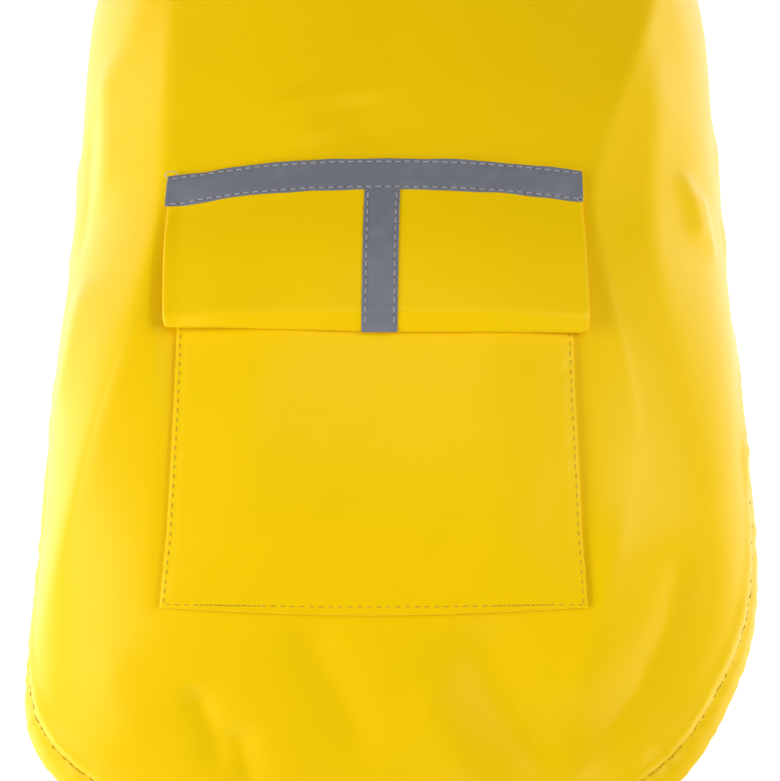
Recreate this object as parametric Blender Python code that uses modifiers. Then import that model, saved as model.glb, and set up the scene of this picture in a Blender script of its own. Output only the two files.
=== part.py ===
"""A dog's raincoat in coated cloth, hollow, in the shape it takes when it is worn.

Every piece is laid out in cloth coordinates, in millimetres: `along` is the distance from the neck edge
toward the tail, `across` is the distance from the middle of the back, round the body, positive to the
right. `place` turns them into a point in space. +Z is up, +Y points toward the head, and the origin is
on the inside of the back, where the wearer's back holds the coat up.
"""

import bpy
import numpy as np

MILLIMETRE = 0.001

# Cloth and seams
WALL = 1.2
TRIM_WALL = 1.0
GAP = 0.3
HEM_GAP = 0.7
HEM = 10.0
NECK_HEM = 8.0
HEM_INSET = 0.5
HEM_REACH = 0.985
CHEST_DIP = 8.0

# The back panel's cut
LENGTH = 458.0
HOLD_AT = 210.0
SEAM_FOOT = 62.0
CORNER_AT = 310.0
CORNER_SQUARE = 2.3
TAIL_HALF = 30.0
TAIL_BOW = 2.0

# One row for each section of the coat, from the neck edge to the tail.
# along: distance from the neck edge.        slope: how steeply the back line falls toward the tail, degrees.
# half_width, half_depth: of the hollow.     square_left, square_right: 2 is an ellipse, more is squarer.
# lean: how far the foot of the section leans forward, degrees.
# slip: how far the cloth has slid round the body toward the left.
# cut: distance from the middle of the back to the panel's lower edge.
COLUMNS = ("along", "slope", "half_width", "half_depth", "square_left", "square_right", "lean", "slip", "cut")
SECTIONS = np.array(
    (
        (0, 16, 58, 66, 2.2, 2.2, 36, 0, 106),
        (60, 8, 90, 94, 2.3, 2.3, 22, 1, 144),
        (120, 2, 114, 110, 2.4, 2.5, 8, 4, 188),
        (180, 0, 121, 118, 2.6, 2.7, 0, 6, 211),
        (220, 2, 123, 118, 2.7, 2.7, 0, 8, 208),
        (280, 8, 126, 114, 3.6, 3.2, 1, 8, 174),
        (340, 19, 130, 106, 4.0, 3.3, 6, 8, 152),
        (400, 31, 133, 96, 3.8, 2.9, 15, 9, 146),
        (470, 40, 134, 90, 3.4, 2.5, 22, 10, 144),
    ),
    dtype=float,
)

# The largest folds. A fold is a soft ridge from one point of the cloth to another.
# Each end: along, across. Then the height and the half width. It is lowest at its ends, by FOLD_END.
FOLDS = (
    (234, -74, 372, -124, 2.4, 14),
    (228, 75, 304, 96, 2.2, 14),
    (120, 108, 222, 76, 2.2, 14),
)
FOLD_END = 0.12

# The pocket, its flap and the reflective tapes
POCKET_TOP = 236.0
POCKET_FOOT = 372.0
POCKET_HALF = (67.0, 71.5)
FLAP_TOP = 219.0
FLAP_FOOT = 278.0
FLAP_HALF = (70.5, 72.0)
FLAP_WALL = 1.4
TAPE_WIDTH = 12.0
TAPE_PAST = 0.5

# The belly strap
STRAP_AT = 190.0
STRAP_WIDTH = 25.0
STRAP_SEWN = 16.0
STRAP_LAP = 70.0
STRAP_INSIDE = 6.0
STRAP_CLEAR = 14.0
PATCH_LENGTH = 50.0
PATCH_WIDTH = 20.0

# Colour, roughness and metallic value of each finish
YELLOW = ((0.93, 0.62, 0.0, 1.0), 0.38, 0.0)
GREY = ((0.18, 0.19, 0.23, 1.0), 0.45, 0.2)
WEBBING = ((0.75, 0.5, 0.01, 1.0), 0.85, 0.0)
HOOK = ((0.75, 0.5, 0.01, 1.0), 0.95, 0.0)

# How finely the form is worked out
HALF_TURN = np.linspace(0.0, 1.0, 241) ** 1.6 * np.pi
LINE_STEP = 1.0
NORMAL_STEP = 2.0
PANEL_STEP = 15.5
PANEL_COLUMNS = 41
HEM_COLUMNS = 29
PATCH_STEP = 9.5


def read(column, along):
    """A column of SECTIONS, read smoothly at any distance along the coat."""
    stations = SECTIONS[:, 0]
    values = SECTIONS[:, COLUMNS.index(column)]
    rates = np.gradient(values, stations)
    row = np.clip(np.searchsorted(stations, along, side="right") - 1, 0, len(stations) - 2)
    step = stations[row + 1] - stations[row]
    f = (along - stations[row]) / step
    start = values[row] * (1 + 2 * f) + step * rates[row] * f
    end = values[row + 1] * (3 - 2 * f) - step * rates[row + 1] * (1 - f)
    return start * (1 - f) ** 2 + end * f**2


def back_line():
    """The middle of the back, seen from the side: its distances along, and Y and Z at each."""
    along = np.arange(0.0, LENGTH + 2 * TAIL_BOW, LINE_STEP)
    slope = np.radians(read("slope", along))
    y = -np.cumsum(np.cos(slope)) * LINE_STEP
    z = -np.cumsum(np.sin(slope)) * LINE_STEP
    held = int(HOLD_AT / LINE_STEP)
    return along, y - y[held], z - z[held] + WALL


BACK_LINE = back_line()


def ring(along, side):
    """Half a section of the hollow: distance round from the middle of the back, width and depth there."""
    power = 2.0 / read("square_right" if side > 0 else "square_left", along)
    sine, cosine = np.sin(HALF_TURN), np.cos(HALF_TURN)
    width = read("half_width", along) * np.abs(sine) ** power
    depth = read("half_depth", along) * (1 - np.sign(cosine) * np.abs(cosine) ** power)
    steps = np.hypot(np.diff(width), np.diff(depth))
    return np.concatenate(([0.0], np.cumsum(steps))), width, depth


def half_round(along, side=1):
    """Distance from the middle of the back to the middle of the belly, round one side."""
    return float(ring(along, side)[0][-1])


def smooth_form(along, across):
    """A point of the coat's outer face before any fold."""
    round_body = across - read("slip", along)
    side = 1 if round_body > 0 else -1
    reach = abs(round_body)
    right_half = half_round(along)
    if side > 0 and reach > right_half:
        side, reach = -1, right_half + half_round(along, -1) - reach
    around, width, depth = ring(along, side)
    x = side * np.interp(reach, around, width)
    down = np.interp(reach, around, depth)
    lean = np.radians(read("lean", along))
    stations, line_y, line_z = BACK_LINE
    y = np.interp(along, stations, line_y) + down * np.sin(lean)
    z = np.interp(along, stations, line_z) - down * np.cos(lean)
    return np.array((x, y, z))


def fold_height(along, across):
    """How far the folds lift the cloth at a point."""
    height = 0.0
    for start_along, start_across, end_along, end_across, lift, half_width in FOLDS:
        run = np.array((end_along - start_along, end_across - start_across))
        offset = np.array((along - start_along, across - start_across))
        share = np.clip(offset @ run / (run @ run), 0.0, 1.0)
        distance = np.linalg.norm(offset - share * run)
        crest = lift * np.sin(np.pi * (FOLD_END + (1 - 2 * FOLD_END) * share))
        height += crest * np.exp(-((distance / half_width) ** 2))
    return height


def outward(along, across):
    """The outward direction at a point."""
    down_back = smooth_form(along + NORMAL_STEP, across) - smooth_form(along - NORMAL_STEP, across)
    round_body = smooth_form(along, across + NORMAL_STEP) - smooth_form(along, across - NORMAL_STEP)
    normal = np.cross(down_back, round_body)
    return normal / np.linalg.norm(normal)


def place(along, across, lift=0.0):
    """A point of the coat's outer face, moved out by lift."""
    out = outward(along, across)
    return smooth_form(along, across) + out * (fold_height(along, across) + lift)


def spread(start, end, step):
    """Evenly spaced values from start to end, about a step apart."""
    return np.linspace(start, end, max(2, int(round(abs(end - start) / step)) + 1))


def corner():
    """The rounded corner of the tail: distances along, and across, of its points."""
    turn = np.radians(np.linspace(0, 90, 17))
    widest = read("cut", CORNER_AT)
    power = 2.0 / CORNER_SQUARE
    along = CORNER_AT + (LENGTH - CORNER_AT) * np.sin(turn) ** power
    across = TAIL_HALF + (widest - TAIL_HALF) * np.abs(np.cos(turn)) ** power
    across[-1] = TAIL_HALF
    return along, across


def panel_rows():
    """The back panel's rows of cloth coordinates, from the neck edge to the tail."""
    straight = spread(0.0, CORNER_AT, PANEL_STEP)[:-1]
    corner_along, corner_across = corner()
    along = np.concatenate((straight, corner_along))
    half = np.concatenate((read("cut", straight), corner_across))
    share = np.linspace(-1.0, 1.0, PANEL_COLUMNS)
    rows = []
    for station, reach in zip(along, half):
        bow = TAIL_BOW * max(0.0, (station - CORNER_AT) / (LENGTH - CORNER_AT)) ** 2
        rows.append([(station + bow * (1 - s * s), reach * s) for s in share])
    return rows


def free_edge():
    """The back panel's free edge, from the right seam's foot round the tail to the left one."""
    side = spread(SEAM_FOOT + 1.0, CORNER_AT, 13.0)[:-1]
    corner_along, corner_across = corner()
    tail = spread(TAIL_HALF, 0.0, 11.0)[1:]
    along = np.concatenate((side, corner_along, LENGTH + TAIL_BOW * (1 - (tail / TAIL_HALF) ** 2)))
    across = np.concatenate((read("cut", side), corner_across, tail))
    right = np.stack((along, across), axis=1)
    left = right[-2::-1] * (1, -1)
    return np.concatenate((right, left))


def inset(path, distance):
    """A path moved sideways in the cloth, to the left of its direction of travel in (along, across)."""
    travel = np.gradient(path, axis=0)
    travel /= np.linalg.norm(travel, axis=1)[:, None]
    return path + distance * np.stack((travel[:, 1], -travel[:, 0]), axis=1)


def material(name, look):
    """A plain surface finish."""
    colour, roughness, metallic = look
    made = bpy.data.materials.new(name)
    made.use_nodes = True
    shader = made.node_tree.nodes["Principled BSDF"]
    shader.inputs["Base Color"].default_value = colour
    shader.inputs["Roughness"].default_value = roughness
    shader.inputs["Metallic"].default_value = metallic
    return made


def cloth(name, rows, lift, wall, look, collection):
    """A piece of cloth from rows of cloth coordinates, its inner face lifted off the coat's outer face."""
    if callable(lift):
        lifts = [[lift(*point) for point in row] for row in rows]
    else:
        lifts = [[lift] * len(row) for row in rows]
    points = [
        place(along, across, height + wall) * MILLIMETRE
        for row, heights in zip(rows, lifts)
        for (along, across), height in zip(row, heights)
    ]
    count = len(rows[0])
    faces = []
    for i in range(len(rows) - 1):
        for j in range(count - 1):
            first = i * count + j
            faces.append((first, first + count, first + count + 1, first + 1))
    mesh = bpy.data.meshes.new(name)
    mesh.from_pydata([tuple(point) for point in points], [], faces)
    mesh.shade_smooth()
    mesh.materials.append(material(name, look))
    piece = bpy.data.objects.new(name, mesh)
    collection.objects.link(piece)
    shell = piece.modifiers.new("Wall", "SOLIDIFY")
    shell.thickness = wall * MILLIMETRE
    shell.offset = -1.0
    shell.use_even_offset = True
    return piece


def patch(along, halves, step, middle=0.0):
    """A straight-sided piece of cloth coordinates, with its half width at its first and its last row."""
    shares = spread(-1.0, 1.0, step / max(halves))
    return [
        [(a, middle + half * share) for share in shares]
        for a, half in zip(along, np.linspace(halves[0], halves[1], len(along)))
    ]


def back_panel(coat):
    cloth("back_panel", panel_rows(), -WALL, WALL, YELLOW, coat)


def rear_hem(coat):
    """The panel's edge, turned in and lying inside it."""
    edge = free_edge()
    outer = inset(edge, HEM_INSET)
    inner = inset(edge, HEM)
    rows = [[tuple(a), tuple(b)] for a, b in zip(inner, outer)]
    cloth("rear_hem", rows, -(WALL + HEM_GAP + TRIM_WALL), TRIM_WALL, YELLOW, coat)


def chest_foot(share):
    """How far down the chest panel reaches: share runs from -1 at one seam to 1 at the other."""
    return SEAM_FOOT + CHEST_DIP * (1 - share * share)


def chest_across(along, share):
    """A place on the chest panel, which runs from the right seam under the neck to the left seam."""
    seam = read("cut", along) + GAP
    middle = half_round(along)
    return middle + share * (middle - seam)


def chest_panel(coat):
    """The chest panel, from its neck edge to its foot."""
    shares = np.linspace(-1.0, 1.0, HEM_COLUMNS)
    rows = []
    for height in np.linspace(0.0, 1.0, 7):
        alongs = [chest_foot(share) * height for share in shares]
        rows.append([(along, chest_across(along, share)) for along, share in zip(alongs, shares)])
    cloth("chest_panel", rows, -WALL, WALL, YELLOW, coat)


def chest_hems(coat):
    """The chest panel's neck edge and foot, turned in."""
    shares = np.linspace(-HEM_REACH, HEM_REACH, HEM_COLUMNS)
    foot = [chest_foot(share) for share in shares]
    neck = [0.0] * HEM_COLUMNS
    for name, edge, offsets in (
        ("chest_neck_hem", neck, (HEM_INSET, NECK_HEM)),
        ("chest_foot_hem", foot, (-HEM, -HEM_INSET)),
    ):
        rows = [
            [(along + offset, chest_across(along + offset, share)) for along, share in zip(edge, shares)]
            for offset in offsets
        ]
        cloth(name, rows, -(WALL + GAP + TRIM_WALL), TRIM_WALL, YELLOW, coat)


def back_neck_hem(coat):
    """The back panel's neck edge, turned in."""
    shares = np.linspace(-HEM_REACH, HEM_REACH, HEM_COLUMNS)
    rows = [[(along, read("cut", along) * share) for share in shares] for along in (HEM_INSET, NECK_HEM)]
    cloth("back_neck_hem", rows, -(WALL + GAP + TRIM_WALL), TRIM_WALL, YELLOW, coat)


def pocket(coat):
    """The pocket bag, open at its mouth under the flap, and the flap."""
    bag = patch(spread(POCKET_TOP, POCKET_FOOT, PATCH_STEP), POCKET_HALF, PATCH_STEP)
    cloth("pocket_bag", bag, GAP, TRIM_WALL, YELLOW, coat)
    flap = patch(spread(FLAP_TOP, FLAP_FOOT, PATCH_STEP), FLAP_HALF, PATCH_STEP)
    cloth("pocket_flap", flap, 2 * GAP + TRIM_WALL, FLAP_WALL, YELLOW, coat)


def tapes(coat):
    """Reflective tape along the flap's head and down its middle, which starts at the first tape's edge."""
    lift = 3 * GAP + TRIM_WALL + FLAP_WALL
    head = (FLAP_TOP - TAPE_PAST, FLAP_TOP - TAPE_PAST + TAPE_WIDTH)
    across = patch(head, (FLAP_HALF[0], FLAP_HALF[0]), PATCH_STEP)
    cloth("tape_across", across, lift, TRIM_WALL, GREY, coat)
    half = TAPE_WIDTH / 2
    down = patch(spread(head[1] + GAP, FLAP_FOOT, PATCH_STEP), (half, half), half)
    cloth("tape_down", down, lift, TRIM_WALL, GREY, coat)


def strap_lift(inside, lapped):
    """The height of a strap: under the panel at its sewn end, and easing to its place in the lap."""
    edge = read("cut", STRAP_AT)
    middle = half_round(STRAP_AT)

    def lift(along, across):
        reached = min(across, 2 * middle - across) - edge
        run = middle - edge - STRAP_LAP / 2 - STRAP_CLEAR
        share = np.clip((reached - STRAP_INSIDE) / run, 0.0, 1.0)
        return inside + (lapped - inside) * share * share * (3 - 2 * share)

    return lift


def belly_strap(coat):
    """Two straps sewn under the side edges, lapped under the belly, and closed by hook and loop patches."""
    edge = read("cut", STRAP_AT)
    middle = half_round(STRAP_AT)
    along = (STRAP_AT - STRAP_WIDTH / 2, STRAP_AT, STRAP_AT + STRAP_WIDTH / 2)
    inside = -(WALL + HEM_GAP + GAP + 2 * TRIM_WALL)
    heights = (0.0, TRIM_WALL + GAP, 2 * (TRIM_WALL + GAP), 3 * (TRIM_WALL + GAP))
    reach = (middle + STRAP_LAP / 2 - edge + STRAP_SEWN) / 2
    for side, name, height in ((-1, "strap_right", heights[0]), (1, "strap_left", heights[3])):
        rows = patch(along, (reach, reach), PATCH_STEP, middle + side * (reach - STRAP_LAP / 2))
        cloth(name, rows, strap_lift(inside, height), TRIM_WALL, WEBBING, coat)
    narrow = (STRAP_AT - PATCH_WIDTH / 2, STRAP_AT, STRAP_AT + PATCH_WIDTH / 2)
    for name, height in (("loop_patch", heights[1]), ("hook_patch", heights[2])):
        rows = patch(narrow, (PATCH_LENGTH / 2, PATCH_LENGTH / 2), PATCH_STEP, middle)
        cloth(name, rows, height, TRIM_WALL, HOOK, coat)


def main():
    for thing in list(bpy.data.objects):
        bpy.data.objects.remove(thing, do_unlink=True)
    coat = bpy.data.collections.new("dog_raincoat")
    bpy.context.scene.collection.children.link(coat)
    back_panel(coat)
    rear_hem(coat)
    back_neck_hem(coat)
    chest_panel(coat)
    chest_hems(coat)
    pocket(coat)
    tapes(coat)
    belly_strap(coat)


main()
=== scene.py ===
"""Looks of a dog's raincoat in yellow coated cloth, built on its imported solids.

Cloth coordinates are in millimetres: `along` runs from the neck edge toward the tail and `across` runs
from the middle of the back round the body, positive to the right. `place` turns them into points in
metres. +Y points toward the head and +Z is up.
"""

import math

import bpy
import numpy as np
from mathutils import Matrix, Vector


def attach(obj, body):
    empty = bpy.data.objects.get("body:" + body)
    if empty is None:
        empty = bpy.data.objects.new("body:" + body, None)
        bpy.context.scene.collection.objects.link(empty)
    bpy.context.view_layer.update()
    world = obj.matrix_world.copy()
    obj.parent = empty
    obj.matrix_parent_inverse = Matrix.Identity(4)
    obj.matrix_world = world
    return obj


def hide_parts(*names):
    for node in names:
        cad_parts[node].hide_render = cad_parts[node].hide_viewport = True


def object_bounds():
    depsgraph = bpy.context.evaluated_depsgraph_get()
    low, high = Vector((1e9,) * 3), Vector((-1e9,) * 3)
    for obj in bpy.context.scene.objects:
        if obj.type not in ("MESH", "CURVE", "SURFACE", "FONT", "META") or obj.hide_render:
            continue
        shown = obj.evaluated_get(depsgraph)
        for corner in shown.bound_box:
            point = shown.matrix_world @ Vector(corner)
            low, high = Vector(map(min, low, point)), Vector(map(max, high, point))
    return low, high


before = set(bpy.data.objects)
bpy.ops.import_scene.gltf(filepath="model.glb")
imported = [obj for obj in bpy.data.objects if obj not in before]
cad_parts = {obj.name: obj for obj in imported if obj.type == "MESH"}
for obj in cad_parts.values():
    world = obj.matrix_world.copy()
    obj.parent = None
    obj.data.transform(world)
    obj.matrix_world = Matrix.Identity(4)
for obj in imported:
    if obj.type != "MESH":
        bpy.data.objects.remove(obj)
cad_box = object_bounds()

MM = 0.001

# The coat's form: one row for each section, from the neck edge to the tail.
COLUMNS = ("along", "slope", "half_width", "half_depth", "square_left", "square_right", "lean", "slip", "cut")
SECTIONS = np.array(
    (
        (0, 16, 58, 66, 2.2, 2.2, 36, 0, 106),
        (60, 8, 90, 94, 2.3, 2.3, 22, 1, 144),
        (120, 2, 114, 110, 2.4, 2.5, 8, 4, 188),
        (180, 0, 121, 118, 2.6, 2.7, 0, 6, 211),
        (220, 2, 123, 118, 2.7, 2.7, 0, 8, 208),
        (280, 8, 126, 114, 3.6, 3.2, 1, 8, 174),
        (340, 19, 130, 106, 4.0, 3.3, 6, 8, 152),
        (400, 31, 133, 96, 3.8, 2.9, 15, 9, 146),
        (470, 40, 134, 90, 3.4, 2.5, 22, 10, 144),
    ),
    dtype=float,
)

# The back panel's cut
LENGTH = 458.0
HOLD_AT = 210.0
HOLD_LIFT = 1.2
SEAM_FOOT = 62.0
CORNER_AT = 310.0
CORNER_SQUARE = 2.3
TAIL_HALF = 30.0
TAIL_BOW = 2.0

# Cloth, hems and seams
CLOTH = 0.9
HEM = 10.0
NECK_HEM = 8.0
CHEST_DIP = 8.0
EDGE_ROLL = 1.6
TURN_GAP = 0.2

# The pocket, its flap and the tapes
POCKET_TOP = 234.0
POCKET_FOOT = 370.5
POCKET_BOW = 1.8
POCKET_SIDES = ((234.0, 66.2), (300.0, 67.2), (345.0, 69.2), (370.5, 71.5))
SEAM_INSET = 1.3
SEAM_BOW = 1.2
FLAP_TOP = 219.0
FLAP_FOOT = 277.0
FLAP_HALF = (71.2, 70.7)
FLAP_MIDDLE = (-0.4, 0.7)
FLAP_BOW = 2.2
FLAP_TILT = 1.1
FLAP_CLOTH = 2.4
TAPE_TOP = 218.5
TAPE_BOW = -2.0
TAPE_WIDTH = 12.0
TAPE = 0.45
DOWN_TAPE = (3.0, 1.6)

# The belly strap
STRAP_AT = 190.0
STRAP_WIDTH = 25.0
STRAP_SEWN = 16.0
STRAP_LAP = 70.0
STRAP_INSIDE = -3.0
STRAP_HEIGHTS = (1.0, 4.9)
WEBBING = 1.1
PATCH_LENGTH = 50.0
PATCH_WIDTH = 20.0
PATCH_HEIGHTS = (2.3, 3.7)
PATCH = 1.2

# Stitches
PITCH = 3.2
STITCH = 2.1
THREAD = 0.19
LOOSE_THREAD = 0.13
NEEDLE_HOLE = (0.34, 0.24)

# How far the rows of stitches on the two tapes lie from the tapes' edges
TAPE_SEAM = 1.1
DOWN_SEAM = 1.2

# The groove that a hem's stitches press in the cloth, and how far past it the cloth swells
GROOVE = 1.3
SWELL_PAST = 4.0

# Creases of the coat: the crest's points (along, across), the lift at its first and its last point (a ridge
# is above 0, a trough below), the half width, and the radius of the crest.
CREASES = (
    (
        (
            (110, -86), (144, -79), (192, -76), (228, -73), (266, -80),
            (297, -91), (331, -103), (366, -119), (396, -133),
        ),
        2.6, 4.2, 12, 0.6,
    ),
    (
        (
            (100, 119), (141, 102), (170, 90), (198, 81), (226, 75),
            (242, 76), (264, 81), (284, 86), (304, 91), (350, 93),
        ),
        3.6, 1.4, 9, 0.5,
    ),
    (((330, 90), (362, 79), (388, 74), (412, 64)), 2.0, 3.0, 10, 1.5),
    (((150, 104), (200, 100), (240, 98), (276, 95)), 1.8, 1.2, 9, 3.0),
    (((334, 110), (376, 105), (403, 94), (425, 78), (444, 58)), -4.0, -6.0, 12, 1.5),
    (((370, 30), (398, 41), (420, 54), (440, 66)), -3.4, -4.4, 11, 2.0),
    (((396, 14), (412, 24), (436, 36)), 2.0, 1.6, 9, 2.0),
    (((202, 118), (216, 124), (232, 130)), 1.8, 1.8, 6, 1.2),
    (((206, 127), (220, 133), (236, 141)), 1.8, 1.4, 6, 1.2),
    (((150, -118), (186, -112), (222, -108)), 2.0, 1.0, 9, 2.0),
    (((168, -134), (204, -128), (240, -131)), -2.0, -1.4, 9, 2.0),
    (((240, -112), (270, -118), (300, -124)), 1.8, 1.1, 8, 2.0),
    (((372, -28), (388, -18), (404, -9), (428, 2)), -2.6, -1.8, 7, 1.0),
    (((396, -62), (412, -54), (432, -50)), -2.8, -1.8, 5, 1.0),
    (((408, -46), (430, -41), (448, -38)), -2.4, -1.8, 5, 1.0),
    (((380, -92), (402, -86), (424, -76)), 1.5, 1.0, 11, 3.0),
    (((190, -8), (204, -5), (214, -4)), -0.9, -0.9, 8, 3.0),
    (((186, -30), (200, -26), (213, -25)), 0.9, 0.9, 8, 3.0),
    (((120, -30), (160, -22), (196, -14)), 0.5, 0.3, 16, 6.0),
    (((110, 50), (150, 44), (190, 42)), -0.6, -0.4, 16, 6.0),
    (((70, -62), (100, -74), (140, -96), (176, -118)), 1.4, 1.0, 12, 3.0),
    (((66, 66), (100, 84), (134, 110), (164, 138)), 1.3, 1.2, 12, 3.0),
    (((40, -100), (86, -120), (130, -150)), -1.2, -1.4, 11, 3.0),
    (((44, 104), (90, 124), (136, 158)), -1.3, -1.2, 12, 3.0),
    (((170, -160), (186, -184), (196, -204)), 1.6, 1.8, 10, 2.5),
    (((168, 158), (182, 182), (190, 204)), 1.6, 1.8, 10, 2.5),
    (((214, 160), (206, 184), (200, 204)), 1.2, 1.6, 9, 2.5),
    (((220, -158), (208, -184), (202, -202)), 1.2, 1.5, 9, 2.5),
)

# The shares of a crease's length over which it fades at its first and its last end, and how steeply its
# sides fall.
CREASE_ENDS = (0.25, 0.3)
CREASE_FALL = 1.3

# The pocket holds the coat flat under it: how that eases in below the flap's head, how far it reaches below
# and beside the pocket, and how it eases out there.
HELD_FROM = 14.0
HELD_BELOW = 8.0
HELD_BESIDE = 5.0
HELD_EASE = 12.0

# An uneven wave is a sum of waves of these shares of its length, which peaks at about this height.
WAVE_PARTS = (0.62, 0.85, 1.13, 1.6)
WAVE_PEAK = 2.4

# Broad hollows and swells: the middle (along, across), the reach along and across, and the lift.
SWELLS = (
    ((412, 132), 34, 34, -4.5),
    ((330, -138), 46, 34, -2.6),
    ((282, -84), 26, 26, 1.0),
    ((258, 118), 60, 16, -1.2),
    ((392, 60), 30, 34, -1.6),
    ((396, 6), 34, 40, 0.8),
    ((160, 0), 60, 60, -0.8),
    ((116, -148), 42, 40, 2.8),
    ((116, 148), 42, 40, 3.0),
    ((415, -125), 26, 26, 2.3),
)


def smooth_step(value):
    """Eases from 0 to 1."""
    value = np.clip(value, 0.0, 1.0)
    return value * value * (3 - 2 * value)


def bell(distance, reach):
    """1 at no distance, falling to 0 past its reach."""
    return np.exp(-((distance / reach) ** 2))


def wobble(distance, wave, seed):
    """A smooth, uneven wave, from about -1 to 1."""
    draw = np.random.default_rng(seed)
    total = 0.0
    for part in WAVE_PARTS:
        total = total + np.sin(2 * np.pi * distance / (wave * part) + draw.uniform(0, 2 * np.pi))
    return total / WAVE_PEAK


def spread(start, end, step):
    """Evenly spaced values from start to end, about a step apart."""
    return np.linspace(start, end, max(2, int(round(abs(end - start) / step)) + 1))


def read(column, along):
    """A column of SECTIONS, read smoothly at any distance along the coat."""
    stations = SECTIONS[:, 0]
    values = SECTIONS[:, COLUMNS.index(column)]
    rates = np.gradient(values, stations)
    row = np.clip(np.searchsorted(stations, along, side="right") - 1, 0, len(stations) - 2)
    step = stations[row + 1] - stations[row]
    f = (along - stations[row]) / step
    start = values[row] * (1 + 2 * f) + step * rates[row] * f
    end = values[row + 1] * (3 - 2 * f) - step * rates[row + 1] * (1 - f)
    return start * (1 - f) ** 2 + end * f**2


# ---------------------------------------------------------------- the coat's form
# The form is worked out once on a grid, and every piece reads it there.
GRID = 2.0
BEFORE = 12.0
GRID_ALONG = np.arange(-BEFORE, LENGTH + 24.0, GRID)
GRID_ROUND = np.arange(-300.0, 660.0, GRID)
HALF_TURN = np.linspace(0.0, 1.0, 241) ** 1.6 * np.pi


def half_ring(along, side):
    """Half a section: distance round from the middle of the back, width and depth there."""
    power = 2.0 / read("square_right" if side > 0 else "square_left", along)
    sine, cosine = np.sin(HALF_TURN), np.cos(HALF_TURN)
    width = read("half_width", along) * np.abs(sine) ** power
    depth = read("half_depth", along) * (1 - np.sign(cosine) * np.abs(cosine) ** power)
    around = np.concatenate(([0.0], np.cumsum(np.hypot(np.diff(width), np.diff(depth)))))
    return around, width, depth


def ring_row(along):
    """Width and depth all round one section, at GRID_ROUND."""
    right, left = half_ring(along, 1), half_ring(along, -1)
    wrapped = GRID_ROUND > right[0][-1]
    on_left = (GRID_ROUND < 0) | wrapped
    reach = np.where(wrapped, right[0][-1] + left[0][-1] - GRID_ROUND, np.abs(GRID_ROUND))
    width = np.where(on_left, -np.interp(reach, left[0], left[1]), np.interp(reach, right[0], right[1]))
    depth = np.where(on_left, np.interp(reach, left[0], left[2]), np.interp(reach, right[0], right[2]))
    return np.stack((width, depth), axis=-1)


def make_back_line():
    """The middle of the back, seen from the side: distances along, Y and Z."""
    along = np.arange(0.0, LENGTH + 24.0, 1.0)
    slope = np.radians(read("slope", along))
    y, z = -np.cumsum(np.cos(slope)), -np.cumsum(np.sin(slope))
    held = int(HOLD_AT)
    y, z = y - y[held], z - z[held] + HOLD_LIFT
    ahead_y, ahead_z = y[0] + BEFORE * np.cos(slope[0]), z[0] + BEFORE * np.sin(slope[0])
    return np.append(-BEFORE, along), np.append(ahead_y, y), np.append(ahead_z, z)


RINGS = np.array([ring_row(station) for station in GRID_ALONG])
BACK_LINE = make_back_line()
MIDDLE_ROUND = np.array([half_ring(station, 1)[0][-1] for station in GRID_ALONG])


def half_round(along):
    """Distance round the right side, from the middle of the back to the middle of the belly."""
    return np.interp(along, GRID_ALONG, MIDDLE_ROUND)


def curve_weights(f):
    """Weights of four neighbours, for a smooth reading between the middle two."""
    return (
        f * (-0.5 + f * (1 - 0.5 * f)),
        1 + f * f * (-2.5 + 1.5 * f),
        f * (0.5 + f * (2 - 1.5 * f)),
        f * f * (-0.5 + 0.5 * f),
    )


def form(along, across):
    """Points of the coat's outer face with no fold, in millimetres."""
    row = (along - GRID_ALONG[0]) / GRID
    column = (across - read("slip", along) - GRID_ROUND[0]) / GRID
    first = np.clip(np.floor(row).astype(int), 1, len(GRID_ALONG) - 3)
    second = np.clip(np.floor(column).astype(int), 1, len(GRID_ROUND) - 3)
    spot = 0.0
    for i, down in enumerate(curve_weights(row - first)):
        for j, side in enumerate(curve_weights(column - second)):
            spot = spot + (down * side)[..., None] * RINGS[first - 1 + i, second - 1 + j]
    lean = np.radians(read("lean", along))
    y = np.interp(along, BACK_LINE[0], BACK_LINE[1]) + spot[..., 1] * np.sin(lean)
    z = np.interp(along, BACK_LINE[0], BACK_LINE[2]) - spot[..., 1] * np.cos(lean)
    return np.stack((spot[..., 0], y, z), axis=-1)


def outward(along, across):
    """The outward direction at each point."""
    step = 2.0
    back = form(along + step, across) - form(along - step, across)
    around = form(along, across + step) - form(along, across - step)
    normal = np.cross(back, around)
    return normal / np.linalg.norm(normal, axis=-1, keepdims=True)


def path_distance(points, along, across):
    """Distance from a path on the cloth, how far along it the nearest point is, and its length."""
    points = np.array(points, dtype=float)
    runs = np.diff(points, axis=0)
    lengths = np.linalg.norm(runs, axis=1)
    starts = np.concatenate(([0.0], np.cumsum(lengths)))
    best = np.full(np.shape(along), 1e9)
    travelled = np.zeros(np.shape(along))
    for (a, c), run, length, start in zip(points, runs, lengths, starts):
        f = np.clip(((along - a) * run[0] + (across - c) * run[1]) / length**2, 0.0, 1.0)
        distance = np.hypot(along - a - f * run[0], across - c - f * run[1])
        nearer = distance < best
        best = np.where(nearer, distance, best)
        travelled = np.where(nearer, start + f * length, travelled)
    return best, travelled, starts[-1]


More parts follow.
